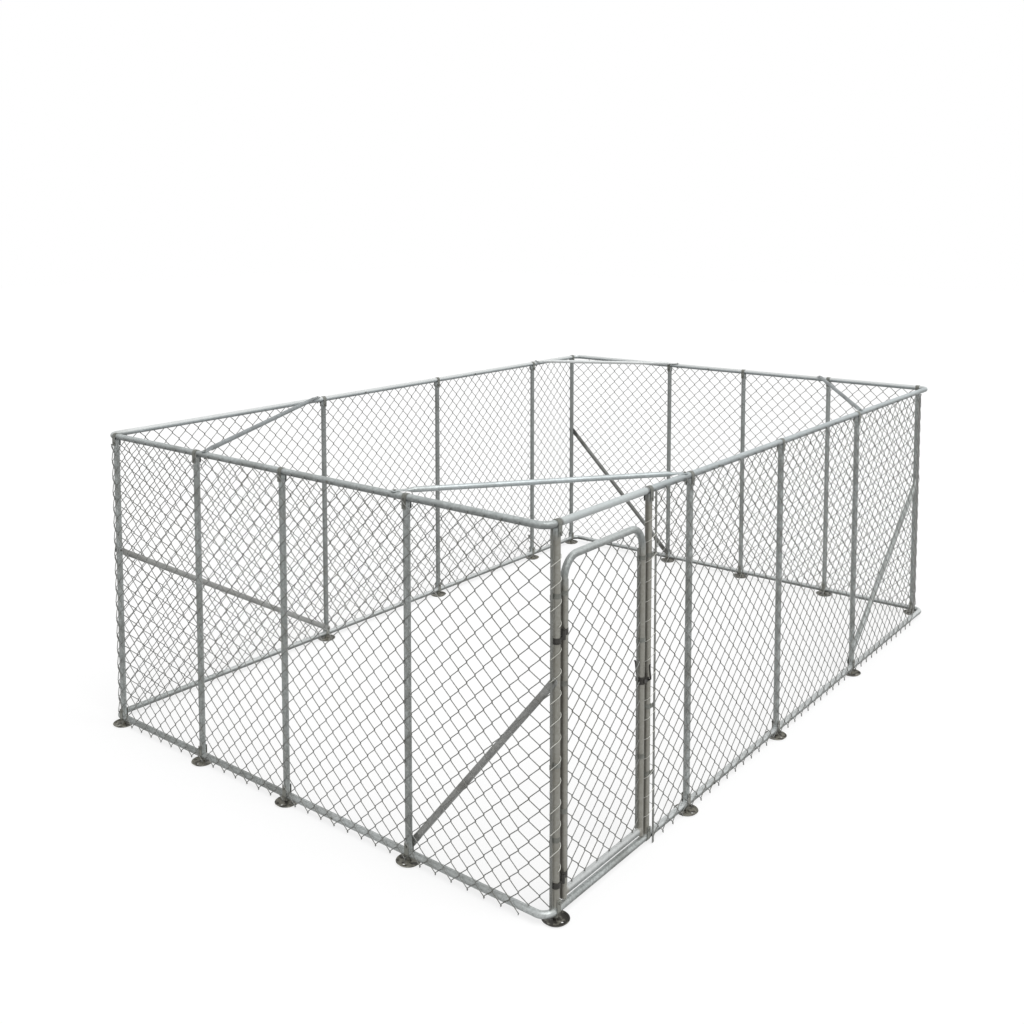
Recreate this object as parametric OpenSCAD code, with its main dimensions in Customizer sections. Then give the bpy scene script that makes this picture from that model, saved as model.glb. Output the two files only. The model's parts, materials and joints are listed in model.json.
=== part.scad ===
// Outdoor dog kennel run: a bolted tube frame with chain-link walls and a gate on pintle hinges.
// Millimetres, +Z up, ground at z = 0, origin in the middle of the plan, the gate wall faces -Y.

/* [Run] */
// Front and back wall, corner to corner at the rail axes
run_length = 4500; // [4300:10:4800]
// Side walls, corner to corner at the rail axes
run_width = 3000; // [2850:10:3200]
// Height from the bottom rail axis to the top rail axis
rail_height = 1590; // [1520:5:1700]
// Height of the bottom rail axis above the ground
rail_lift = 40; // [38:1:50]

/* [Tubes] */
// Outer diameter of rails, posts, braces and gate frame
tube_d = 32; // [30:0.5:33]
// Wall thickness of all tubes
tube_wall = 1.5; // [1.2:0.1:2]
// Outer diameter of the corner ties
tie_d = 25; // [20:0.5:28]
// Bend radius of the corner elbows
elbow_r = 50; // [44:1:51]
// Distance of a corner post from the corner
corner_in = 64; // [64:1:72]
// Length of a slip joint
spigot_len = 60; // [40:1:70]

/* [Fittings] */
// Thickness of saddles and foot cradles
strap_t = 2; // [1.5:0.1:2.4]
// Width of saddles and foot cradles
strap_w = 25; // [20:1:25]
// Diameter of the frame bolts
bolt_d = 6; // [5:0.5:7]
// Diameter of a foot pan
foot_d = 118; // [110:1:124]
// Sheet thickness of a foot pan
foot_t = 3; // [2:0.1:4]
// Diameter of the ground anchor holes
anchor_d = 11; // [9:0.5:12]

/* [Net] */
// Diagonal of a wall mesh in this model
wall_mesh = 232; // [228:1:280]
// Diagonal of a gate mesh
gate_mesh = 90; // [86:1:110]
// Thickness of the net
net_t = 2.6; // [2:0.1:3]
// Half the length of a mesh crossing
net_s = 2.4; // [1.8:0.1:3]

/* [Gate] */
// Distance of the latch post from the hinge corner
gate_bay = 756; // [730:2:800]
// Distance of the gate top below the top rail, axis to axis
gate_drop = 150; // [130:1:170]
// Bend radius of the gate bow
gate_r = 90; // [80:1:110]
// Distance of the gate stile from the hinge post, axis to axis
hinge_gap = 50; // [49:1:54]
// Diameter of the hinge pins
pin_d = 12; // [10:0.5:12]
// Distance of the gate stile from the latch post, axis to axis
latch_gap = 52; // [50:1:56]
// Rod diameter of the latch fork
fork_d = 8; // [7:0.5:9]
// Reach of the fork past its pivot
fork_reach = 80; // [72:1:90]

/* [Hidden] */
$fn = 48;
WALLS = ["front", "right", "back", "left"];
wall_len = [run_length, run_width, run_length, run_width];
corner = [[-1, -1], [1, -1], [1, 1], [-1, 1]];
post_share = [[0.25, 0.47, 0.71], [0.24, 0.47, 0.69], [0.14, 0.40, 0.65], [0.26, 0.48, 0.75]];
joint_share = [[0.30, 0.62], [0.56], [0.30, 0.56], [0.58]];

fit = 0.3;
slip = 0.2;
seam = 0.3;
seat = 0.1;
pin_fit = 0.05;

tube_r = tube_d / 2;
bore_r = tube_r - tube_wall;
spigot_r = bore_r - slip;
tie_r = tie_d / 2;
seat_r = tube_r + fit;
strap_r = seat_r + strap_t;
bolt_r = bolt_d / 2;
hole_r = bolt_r + 0.25;
head_r = bolt_d * 0.96;
head_h = 4;
nut_h = 5;
elbow_arm = corner_in + strap_w / 2 + 13.5;
top_z = rail_lift + rail_height;

saddle_leg = 50;
saddle_bolt = 36;
foot_r = foot_d / 2;
anchor_y = foot_r - 26;

tab_t = 3;
tab_r = 17;
tab_len = 48;
neck_len = 36;
brace_high = 0.6 * rail_height;
tie_long = -50;
tie_short = 70;

net_off = strap_r + seat + head_h + fit;
net_z0 = 14;
net_end = 12;
net_h = top_z + tube_r / 2 - net_z0;
bar_w = 14;
bar_t = 3;
band_t = 1.5;
band_h = 20;
band_z = [330, 640, 1330];
bar_gap = 24.5;
bar_y = 0.5;
edge = seat_r + 3 + fit;

gate_x0 = corner_in + hinge_gap;
gate_x1 = gate_bay - latch_gap;
gate_z0 = rail_lift + 2 * tube_r + 20;
gate_z1 = top_z - gate_drop;
gate_foot = gate_z0 - tube_r - 4;
gate_band_z = [430, 960, 1330];
hinge_x = corner_in + hinge_gap / 2;
hinge_y = -16;
hinge_low = 125;
hinge_high = 1133;
hinge_z = [rail_lift + hinge_low, rail_lift + hinge_high];
hinge_dir = atan2(hinge_y, hinge_gap / 2);
hinge_arm = norm([hinge_gap / 2, hinge_y]);
pin_r = pin_d / 2;
eye_r = pin_r + 4;
clamp_t = 2.5;
latch_x = gate_x1 + latch_gap / 2 - 2;
latch_rise = 745;
latch_z = rail_lift + latch_rise;
latch_up = 100;
fork_r = fork_d / 2;
fork_y = 36;
fork_bend = 10;
ear_y0 = tube_r + 2;
ear_y1 = ear_y0 + 6;

galv = [0.58, 0.60, 0.60];
zinc = [0.45, 0.45, 0.43];
wire = [0.66, 0.67, 0.67];
dark = [0.16, 0.16, 0.16];

function post_x(w, i) = post_share[w][i] * wall_len[w];
function tie_step(w) = (w % 2 == 0) ? tie_long : tie_short;
function tie_start(w) = post_x(w, 0) + tie_step(w);
function tie_end(w) = wall_len[w] - post_x(w, 2) + tie_step(w);
function foot_x(w) = [corner_in, post_x(w, 0), post_x(w, 1), post_x(w, 2)];

// A wall's own frame: x runs along it from its first corner, y points into the run
module on_wall(w) {
    translate([corner[w][0] * run_length / 2, corner[w][1] * run_width / 2, 0]) rotate(90 * w) children();
}

// A hole or shank along y, from y0 over a length
module along_y(y0, l, r) {
    translate([0, y0, 0]) rotate([-90, 0, 0]) cylinder(h = l, r = r);
}

// A tube from p to q
module tube_between(p, q, r, b) {
    d = q - p;
    l = norm(d);
    translate(p) rotate([0, acos(d[2] / l), atan2(d[1], d[0])]) difference() {
        cylinder(h = l, r = r);
        translate([0, 0, -1]) cylinder(h = l + 2, r = b);
    }
}

// One length of rail along x, with a swaged spigot at its far end where it has one
module rail_piece(l, swaged) {
    plain = [[bore_r, 0], [tube_r, 0], [tube_r, l], [bore_r, l]];
    inner = spigot_r - tube_wall;
    neck = [[bore_r, 0], [tube_r, 0], [tube_r, l], [spigot_r, l], [spigot_r, l + spigot_len],
        [inner, l + spigot_len], [inner, l - 6], [bore_r, l - 6]];
    rotate([0, 90, 0]) rotate_extrude() polygon(swaged ? neck : plain);
}

// A wall's rail at one height: lengths slipped into each other and pinned by a screw
module rail(w, z, top) {
    l = wall_len[w];
    cut = concat([elbow_arm], [for (s = joint_share[w]) s * l], [l - elbow_arm]);
    n = len(cut) - 1;
    color(galv) on_wall(w) translate([0, 0, z]) difference() {
        for (i = [0 : n - 1])
            translate([cut[i] + seam, 0, 0])
                rail_piece(cut[i + 1] - cut[i] - ((i == n - 1) ? 2 : 1) * seam, i < n - 1);
        for (i = [1 : n - 1]) translate([cut[i] + spigot_len / 2, 0, 0]) along_y(-2 * tube_r, 4 * tube_r, hole_r);
        if (top) for (x = [tie_start(w), l - tie_end(w)])
            translate([x, 0, -2 * tube_r]) cylinder(h = 4 * tube_r, r = hole_r);
    }
}

// The elbow at a wall's first corner
module elbow(w, z) {
    color(galv) on_wall(w) translate([0, 0, z]) {
        translate([elbow_r, elbow_r, 0]) rotate(180) rotate_extrude(angle = 90) translate([elbow_r, 0])
            difference() {
                circle(r = tube_r);
                circle(r = bore_r);
            }
        translate([elbow_r, 0, 0]) rail_piece(elbow_arm - elbow_r, true);
        translate([0, elbow_r, 0]) rotate(90) rail_piece(elbow_arm - elbow_r, true);
    }
}

// A post between the rails, both ends coped to the rail
module post(w, x, brace_head = false) {
    color(galv) on_wall(w) translate([x, 0, rail_lift]) difference() {
        cylinder(h = rail_height, r = tube_r);
        translate([0, 0, -1]) cylinder(h = rail_height + 2, r = bore_r);
        for (z = [0, rail_height])
            translate([-2 * tube_r, 0, z]) rotate([0, 90, 0]) cylinder(h = 4 * tube_r, r = seat_r);
        for (z = [saddle_bolt, rail_height - saddle_bolt])
            translate([0, 0, z]) along_y(-2 * tube_r, 4 * tube_r, hole_r);
        if (brace_head) translate([0, 0, brace_high]) rotate(90) along_y(-2 * tube_r, 4 * tube_r, hole_r);
    }
}

// A strap bent over a rail with two legs down the post; drawn with the rail axis at the origin
module saddle() {
    difference() {
        translate([-strap_w / 2, 0, 0]) rotate([90, 0, 90]) linear_extrude(height = strap_w) difference() {
            union() {
                circle(r = strap_r);
                translate([-strap_r, -saddle_leg]) square([2 * strap_r, saddle_leg]);
            }
            circle(r = seat_r);
            translate([-seat_r, -saddle_leg - 1]) square([2 * seat_r, saddle_leg + 1]);
        }
        translate([0, 0, -saddle_bolt]) along_y(-2 * tube_r, 4 * tube_r, hole_r);
    }
}

// A foot: a pressed pan on a stem, with a cradle round the rail and the post
module foot() {
    difference() {
        union() {
            rotate_extrude() polygon([[0, 0], [foot_r - 9, 0], [foot_r, 8], [foot_r - 2.4, 9.6],
                [foot_r - 10.2, foot_t], [0, foot_t]]);
            cylinder(h = rail_lift, r = strap_w / 2 - 1.5);
            translate([0, 0, rail_lift]) mirror([0, 0, 1]) saddle();
        }
        translate([-foot_r, 0, rail_lift]) rotate([0, 90, 0]) cylinder(h = foot_d, r = seat_r);
        for (s = [-1, 1]) translate([0, s * anchor_y, -1]) cylinder(h = foot_t + 2, r = anchor_d / 2);
    }
}

// A bolt along y with its nut: the head's seat at y = 0, the nut's at y = grip
module bolt(grip) {
    rotate([-90, 0, 0]) {
        translate([0, 0, -head_h]) cylinder(h = head_h, r = head_r, $fn = 6);
        translate([0, 0, -head_h / 2]) cylinder(h = head_h / 2 + grip + nut_h + 2, r = bolt_r);
        translate([0, 0, grip]) cylinder(h = nut_h, r = head_r, $fn = 6);
    }
}

// A strut with flattened, drilled ends. The tabs lie square to y; their bolt holes are at p and q
module strut(p, q, r) {
    flat = [q[0] - p[0], 0, q[2] - p[2]] / norm([q[0] - p[0], 0, q[2] - p[2]]);
    a = tab_len + neck_len;
    p1 = p + a * flat;
    q1 = q - a * flat;
    turn = atan2(flat[2], flat[0]);
    tube_between(p1, q1, r, r - tube_wall);
    for (e = [[p, turn], [q, turn + 180]]) translate(e[0]) rotate([0, -e[1], 0]) {
        rotate([90, 0, 0]) translate([0, 0, -tab_t / 2]) linear_extrude(height = tab_t) difference() {
            union() {
                circle(r = tab_r);
                translate([0, -tab_r]) square([tab_len, 2 * tab_r]);
            }
            circle(r = hole_r);
        }
        hull() {
            translate([tab_len - 1, -tab_t / 2, -tab_r]) cube([1, tab_t, 2 * tab_r]);
            translate([a, 0, 0]) rotate([0, 90, 0]) cylinder(h = 3, r = r - 0.5, $fn = 32);
        }
    }
}

// A wall brace: from the next corner's post down to the foot of this wall's last post
module brace(w) {
    p = [post_x(w, 2), strap_r + seat + tab_t / 2, rail_lift + saddle_bolt];
    q = [wall_len[w], corner_in - seat_r - tab_t / 2, rail_lift + brace_high];
    color(galv) on_wall(w) strut(p, q, tube_r);
}

// A tie across a corner, lying on the two top rails
module corner_tie(w) {
    z = top_z + seat_r + tab_t / 2;
    color(galv) on_wall(w) translate([0, 0, z]) rotate([90, 0, 0])
        strut([0, 0, -tie_end((w + 3) % 4)], [tie_start(w), 0, 0], tie_r);
}

// A flat net of diamonds over lx by lz
module lattice(lx, lz, mesh) {
    nx = round(lx / mesh);
    nz = round(lz / mesh);
    px = lx / nx;
    pz = lz / nz;
    difference() {
        square([lx, lz]);
        for (j = [0 : 2 * nz], i = [0 : nx]) if (j % 2 == 0 || i < nx)
            translate([(i + (j % 2) / 2) * px, j * pz / 2])
                polygon([[net_s - px / 2, 0], [0, net_s - pz / 2], [px / 2 - net_s, 0], [0, pz / 2 - net_s]]);
    }
}

// A wall's net, outside the saddles and bolt heads
module wall_net(w) {
    x0 = (w == 0) ? gate_bay + 6 : seam - net_off;
    x1 = (w == 3) ? wall_len[w] - net_end : wall_len[w] + net_off - seam;
    color(wire) on_wall(w) translate([x0, -net_off, net_z0]) rotate([90, 0, 0]) linear_extrude(height = net_t)
        lattice(x1 - x0, net_h, wall_mesh);
}

// At the hinge corner a wire from each edge mesh of the left net turns in to the flat bar beside the post
module net_ties() {
    rows = round(net_h / wall_mesh);
    tip = [wall_len[3] - net_end - net_s, 2 * fit - net_off];
    end = [wall_len[3] - bar_y - bar_t / 2, corner_in - bar_gap - bar_w - fit];
    color(wire) on_wall(3) for (k = [0 : rows - 1]) translate([tip[0], tip[1], net_z0 + (k + 0.5) * net_h / rows])
        rotate([0, 90, atan2(end[1] - tip[1], end[0] - tip[0])])
            cylinder(h = norm(end - tip), r = net_t / 2, $fn = 16);
}

module post_saddles() {
    color(zinc) for (w = [0 : 3]) on_wall(w) {
        for (x = foot_x(w)) translate([x, 0, top_z]) saddle();
        if (w == 0) {
            translate([gate_bay, 0, top_z]) saddle();
            translate([gate_bay, 0, rail_lift]) mirror([0, 0, 1]) saddle();
        }
    }
}

module foot_plates() {
    color(zinc) for (w = [0 : 3]) on_wall(w) for (x = foot_x(w)) translate([x, 0, 0]) foot();
}

module frame_bolts() {
    y0 = -strap_r - seat;
    color(dark) for (w = [0 : 3]) on_wall(w) {
        for (x = concat(foot_x(w), (w == 0) ? [gate_bay] : []), z = [rail_lift + saddle_bolt, top_z - saddle_bolt])
            translate([x, y0, z])
                bolt((x == post_x(w, 2) && z < rail_height / 2) ? tab_t + seat - 2 * y0 : -2 * y0);
        for (s = joint_share[w], z = [rail_lift, top_z])
            translate([s * wall_len[w] + spigot_len / 2, -tube_r - seat, z]) bolt(2 * (tube_r + seat));
        translate([wall_len[w], corner_in - seat_r - tab_t - seat, rail_lift + brace_high])
            bolt(2 * tube_r + fit + tab_t + 2 * seat);
        for (x = [tie_start(w), wall_len[w] - tie_end(w)])
            translate([x, 0, top_z + seat_r + tab_t + seat]) rotate([-90, 0, 0])
                bolt(2 * tube_r + fit + tab_t + 2 * seat);
    }
}

// Flat bars that stretch the two ends of the wall net
module tension_bars() {
    y = seam - net_off;
    low = rail_lift + tube_r + 1;
    color(galv) on_wall(0) {
        translate([gate_bay + 22, y, 6]) cube([bar_w, bar_t, top_z - 12]);
        translate([corner_in - bar_gap - bar_w, bar_y, low]) cube([bar_w, bar_t, rail_height - 2 * tube_r - 2]);
    }
}

module band(t, h) {
    difference() {
        cylinder(h = h, r = seat_r + t);
        translate([0, 0, -1]) cylinder(h = h + 2, r = seat_r);
    }
}

module tension_bands() {
    y = net_off - seam - bar_t - fit;
    color(zinc) on_wall(0) for (z = band_z) {
        translate([gate_bay, 0, z]) {
            band(band_t, band_h);
            translate([0, -y, 0]) cube([22 + bar_w, y - seat_r - 0.5, band_h]);
        }
        translate([corner_in, 0, z]) band(band_t, band_h);
        translate([corner_in - bar_gap - bar_w, bar_y + bar_t + fit, z])
            cube([bar_gap + bar_w - seat_r - 0.1, band_t, band_h]);
    }
}

// Clamps on the hinge post, each with an upright pin
module hinge_pintles() {
    color(dark) on_wall(0) for (z = hinge_z) translate([corner_in, 0, z]) {
        translate([0, 0, -27]) band(clamp_t, 24);
        rotate(hinge_dir) {
            translate([seat_r + 0.8, -7, -15]) cube([hinge_arm - seat_r - 0.8, 14, 12]);
            translate([hinge_arm, 0, -15]) cylinder(h = 12, r = eye_r);
            translate([hinge_arm, 0, -4]) cylinder(h = 34, r = pin_r);
        }
    }
}

// The gate's bent tube: two stiles and a top with rounded corners
module gate_bow() {
    color(galv) on_wall(0) {
        for (x = [gate_x0, gate_x1])
            tube_between([x, 0, gate_foot], [x, 0, gate_z1 - gate_r], tube_r, bore_r);
        tube_between([gate_x0 + gate_r, 0, gate_z1], [gate_x1 - gate_r, 0, gate_z1], tube_r, bore_r);
        for (e = [[gate_x0 + gate_r, 90], [gate_x1 - gate_r, 0]])
            translate([e[0], 0, gate_z1 - gate_r]) rotate([90, 0, 0]) rotate(e[1])
                rotate_extrude(angle = 90) translate([gate_r, 0]) difference() {
                    circle(r = tube_r);
                    circle(r = bore_r);
                }
    }
}

module gate_bottom_rail() {
    color(galv) on_wall(0) difference() {
        tube_between([gate_x0, 0, gate_z0], [gate_x1, 0, gate_z0], tube_r, bore_r);
        for (x = [gate_x0, gate_x1]) translate([x, 0, gate_z0 - 2 * tube_r]) cylinder(h = 4 * tube_r, r = seat_r);
    }
}

module gate_net() {
    x0 = gate_x0 + edge;
    z0 = gate_z0 + tube_r + 1;
    lx = gate_x1 - edge - x0;
    lz = gate_z1 - tube_r - 1 - z0;
    cx = gate_x0 + gate_r - x0;
    cz = gate_z1 - gate_r - z0;
    side = lx / round(lx / gate_mesh) / 2 + net_s + 2;
    color(wire) on_wall(0) translate([x0, net_t / 2, z0]) rotate([90, 0, 0]) linear_extrude(height = net_t)
        difference() {
            lattice(lx, lz, gate_mesh);
            for (s = [0, 1]) translate([s * lx, 0]) mirror([s, 0]) {
                difference() {
                    translate([-1, cz]) square([cx + 1, lz - cz + 1]);
                    translate([cx, cz]) circle(r = gate_r - tube_r - 1);
                }
                polygon([[-1, lz + 1], [-1, lz - side], [side, lz + 1]]);
            }
        }
}

module gate_tension_bars() {
    color(galv) on_wall(0) for (x = [gate_x0 + edge, gate_x1 - edge - bar_w])
        translate([x, net_t / 2 + fit, gate_z0 + tube_r + 4])
            cube([bar_w, bar_t, gate_z1 - gate_r - gate_z0 - tube_r - 8]);
}

module gate_bands() {
    y = net_t / 2 + bar_t + 2 * fit;
    color(zinc) on_wall(0) for (z = gate_band_z, s = [0, 1])
        translate([s ? gate_x1 : gate_x0, 0, z]) mirror([s, 0, 0]) {
            band(band_t, band_h);
            translate([tube_r, y, 0]) cube([edge - tube_r + bar_w, band_t, band_h]);
        }
}

// Clamps on the gate stile, each with an eye that turns on a pin
module gate_hinge_eyes() {
    color(dark) on_wall(0) for (z = hinge_z) translate([gate_x0, 0, z - 3 + fit]) difference() {
        union() {
            band(clamp_t, 24);
            rotate(180 - hinge_dir) {
                translate([seat_r + 0.8, -6, 0]) cube([hinge_arm - seat_r - 0.8, 12, 24]);
                translate([hinge_arm, 0, 0]) cylinder(h = 24, r = eye_r);
            }
        }
        rotate(180 - hinge_dir) translate([hinge_arm, 0, -1]) cylinder(h = 26, r = pin_r + pin_fit);
    }
}

// The clamp that carries the latch fork, with a drilled ear on each side
module latch_collar() {
    color(dark) on_wall(0) translate([gate_x1, 0, latch_z]) difference() {
        union() {
            translate([0, 0, -16]) band(3, 32);
            for (s = [0, 1]) mirror([0, s, 0])
                translate([-8, ear_y0, -9]) cube([latch_x - gate_x1 + 15, ear_y1 - ear_y0, 18]);
        }
        translate([latch_x - gate_x1, 0, 0]) along_y(-2 * fork_y, 4 * fork_y, fork_r + pin_fit);
        translate([0, -fork_r, -20]) cube([2 * tube_r, 2 * fork_r, 40]);
    }
}

// A rod's bend in the plane of x and y, from the x axis turning to one side
module rod_bend(bend, turn) {
    mirror([0, (turn < 0) ? 1 : 0, 0]) translate([0, bend, 0]) rotate(-90)
        rotate_extrude(angle = abs(turn)) translate([bend, 0]) circle(r = fork_r);
}

// The fork, a bent rod whose closed end is its own pivot; it rests lifted, its heel on the stile
module latch_fork() {
    leg = fork_reach - fork_bend - 16;
    heel = latch_x - gate_x1 - tube_r - fit;
    color(dark) on_wall(0) translate([latch_x, 0, latch_z]) rotate([0, -latch_up, 0]) {
        along_y(fork_bend - fork_y, 2 * (fork_y - fork_bend), fork_r);
        for (s = [0, 1]) mirror([0, s, 0]) {
            translate([0, fork_y - fork_bend, 0]) rotate(90) rod_bend(fork_bend, -90);
            translate([fork_bend, fork_y, 0]) {
                rotate([0, 90, 0]) cylinder(h = leg, r = fork_r);
                translate([leg, 0, 0]) rod_bend(2 * fork_bend, 40);
            }
        }
        // The heel: its upper half meets the stile when the fork is lifted, its lower half swings clear
        rotate([0, latch_up - 180, 0]) intersection() {
            rotate([0, 90, 0]) cylinder(h = heel, r = fork_r - 1);
            union() {
                along_y(-fork_r, 2 * fork_r, heel);
                translate([0, -fork_r, -fork_r]) cube([2 * heel, 2 * fork_r, fork_r]);
            }
        }
    }
}

for (w = [0 : 3]) {
    n = WALLS[w];
    rail(w, top_z, true);
    rail(w, rail_lift, false);
    elbow(w, top_z);
    elbow(w, rail_lift);
    post(w, corner_in, true);
    post(w, post_x(w, 0));
    post(w, post_x(w, 1));
    post(w, post_x(w, 2));
    brace(w);
    corner_tie(w);
    wall_net(w);
}
post(0, gate_bay);  // latch_post
post_saddles();
foot_plates();
frame_bolts();
net_ties();
tension_bars();
tension_bands();
hinge_pintles();
gate_bow();
gate_bottom_rail();
gate_net();
gate_tension_bars();
gate_bands();
gate_hinge_eyes();
latch_collar();
latch_fork();
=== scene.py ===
# %% [markdown]
# # An outdoor dog kennel run
# A free-standing rectangle of galvanised tube, closed on all four sides by woven chain link and entered
# through a narrow gate. The tubes, straps, feet, hinges and latch come from the construction model and keep
# their shapes. What a flat construction net can't show is the weave, so this script winds every wire of the
# netting and then gives each metal its own finish.

import json
import math

import bpy
import numpy as np
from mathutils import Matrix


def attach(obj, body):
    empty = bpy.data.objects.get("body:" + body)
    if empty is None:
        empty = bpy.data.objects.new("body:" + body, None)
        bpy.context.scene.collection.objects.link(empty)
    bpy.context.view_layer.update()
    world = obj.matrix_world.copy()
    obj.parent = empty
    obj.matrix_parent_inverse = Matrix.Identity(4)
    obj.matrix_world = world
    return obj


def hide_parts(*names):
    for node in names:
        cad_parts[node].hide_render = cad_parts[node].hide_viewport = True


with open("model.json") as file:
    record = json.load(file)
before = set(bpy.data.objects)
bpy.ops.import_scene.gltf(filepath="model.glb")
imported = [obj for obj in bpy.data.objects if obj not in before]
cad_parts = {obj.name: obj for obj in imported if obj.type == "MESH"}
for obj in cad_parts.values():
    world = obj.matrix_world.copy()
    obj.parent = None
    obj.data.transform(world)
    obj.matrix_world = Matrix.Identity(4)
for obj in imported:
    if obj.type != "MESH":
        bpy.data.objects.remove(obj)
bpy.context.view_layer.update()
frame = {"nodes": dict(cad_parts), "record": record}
nodes = frame["nodes"]
scene = bpy.context.scene
scene.view_settings.view_transform = "Standard"

# %% [markdown]
# ## Camera
# The picture was taken from a little above the run, near the gate corner, with the camera held upright. Its
# place, turn and focal length were worked out from the corners and posts of the run, so that the model's
# own metres land on the same points of a square picture. The picture's centre lies below the lens axis,
# which the shift repeats.

# %% Camera
PICTURE = 1024.0
FOCAL_PX = 1123.1
AXIS_PX = (512.0, 304.8)
SENSOR = 36.0
CAMERA_AT = (-5.701, -4.036, 2.823)
LOOK_DOWN = 4.400
LOOK_ROUND = -51.862

camera_data = bpy.data.cameras.new("camera")
camera_data.sensor_width = SENSOR
camera_data.lens = FOCAL_PX / PICTURE * SENSOR
camera_data.shift_x = (PICTURE / 2 - AXIS_PX[0]) / PICTURE
camera_data.shift_y = (AXIS_PX[1] - PICTURE / 2) / PICTURE
camera = bpy.data.objects.new("camera", camera_data)
camera.location = CAMERA_AT
camera.rotation_euler = (math.radians(90 - LOOK_DOWN), 0.0, math.radians(LOOK_ROUND))
scene.collection.objects.link(camera)
scene.camera = camera
print("lens mm:", round(camera_data.lens, 2), "shift:", round(camera_data.shift_y, 3))

# %% [markdown]
# ## The frame's main sizes
# These repeat the construction model, in metres. The netting follows them: it lies against the outside of
# the tubes, bends round the corners between the top and bottom elbows, and ends on flat bars beside the
# gate. The gate's frame is placed from the two posts that it hangs between, so both stay in step with the
# bay.

# %% Sizes
HALF_LENGTH = 2.25
HALF_WIDTH = 1.5
RAIL_LOW = 0.040
RAIL_HIGH = 1.630
TUBE_R = 0.016
CORNER_IN = 0.064
GATE_BAY = 0.756
MESH = 0.090
WIRE_R = 0.0022
NET_OFF = 0.0200
NET_LOW = 0.0185
NET_HIGH = 1.622
HINGE_SPACE = 0.050
LATCH_SPACE = 0.052
SILL_SPACE = 0.020
BOW_DROP = 0.150
GATE_R = 0.090

HINGE_X = -HALF_LENGTH + CORNER_IN
LATCH_X = -HALF_LENGTH + GATE_BAY
GATE_X0 = HINGE_X + HINGE_SPACE
GATE_X1 = LATCH_X - LATCH_SPACE
GATE_Z0 = RAIL_LOW + 2 * TUBE_R + SILL_SPACE
GATE_Z1 = RAIL_HIGH - BOW_DROP
print("gate opening between stiles, m:", round(GATE_X1 - GATE_X0 - 2 * TUBE_R, 3))

# %% [markdown]
# ## Wires as meshes
# A wire could be a curve with a round bevel. Here there are hundreds, so whole arrays of paths are turned
# into small rings of corners at once: the direction along the path and a reference direction give the
# ring's plane, and rows of quads join each ring to the next. Five corners are plenty for a wire that is a
# pixel wide.


# %% Wire helper
def put_mesh(name, corners, faces):
    """A new object at the origin from an array of corners and a list of faces, shaded smooth."""
    mesh = bpy.data.meshes.new(name)
    mesh.from_pydata(corners, [], faces)
    mesh.polygons.foreach_set("use_smooth", np.ones(len(mesh.polygons), dtype=bool))
    mesh.update()
    obj = bpy.data.objects.new(name, mesh)
    scene.collection.objects.link(obj)
    return obj


def wire_mesh(paths, reference, radius, sides=5):
    """Corners and faces of wires along paths (wires, points, 3).

    At each point the ring lies in the plane square to the path: corner k stands at
    radius * (cos(a) * side + sin(a) * up), with a = 2 pi k / sides, side = path direction x reference
    and up = side x path direction. Quads join neighbouring rings, and a fan closes each end.
    """
    count, points, _ = paths.shape
    along = np.gradient(paths, axis=1)
    along /= np.linalg.norm(along, axis=2, keepdims=True)
    side = np.cross(along, np.broadcast_to(reference, paths.shape))
    side /= np.linalg.norm(side, axis=2, keepdims=True)
    up = np.cross(side, along)
    angle = 2 * np.pi * np.arange(sides) / sides
    ring = side[:, :, None, :] * np.cos(angle)[:, None] + up[:, :, None, :] * np.sin(angle)[:, None]
    corners = paths[:, :, None, :] + radius * ring
    index = np.arange(count * points * sides).reshape(count, points, sides)
    turned = np.roll(index, -1, axis=2)
    quads = np.stack([index[:, :-1], turned[:, :-1], turned[:, 1:], index[:, 1:]], axis=-1)
    ends = [index[:, 0, ::-1], index[:, -1, :]]
    faces = quads.reshape(-1, 4).tolist() + np.concatenate(ends).tolist()
    return corners.reshape(-1, 3), faces


# %% [markdown]
# ## The weave
# Chain link is made of upright wires, each bent into a flat spiral. Seen from the front a wire is a zigzag
# whose tips hook behind the tips of its neighbours; seen from the edge it lies to the front on the way up
# to the right and to the back on the way up to the left. So one wire is a triangle wave with rounded tips
# across the wall, a squared-off wave in depth, and half a turn between neighbours. At the top and bottom
# edge two neighbours are twisted together, which leaves a row of short tails one mesh apart.

# %% Weave helper
TIP_SHARP = 0.988
TIP_TURN = 0.25
TIP_PAST = 0.9
SPIRAL_DEPTH = 1.15
SPIRAL_ROUND = 0.06
PHASES = np.array([0.25, 0.275, 0.33, 0.67, 0.725, 0.75, 0.775, 0.83, 1.17, 1.225])
TAIL = np.array([[-0.8, 1.8, 1.4], [-2.6, 3.4, 1.4], [-2.6, 5.0, -1.2], [-1.0, 6.4, -1.2]]) * 1e-3


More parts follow.
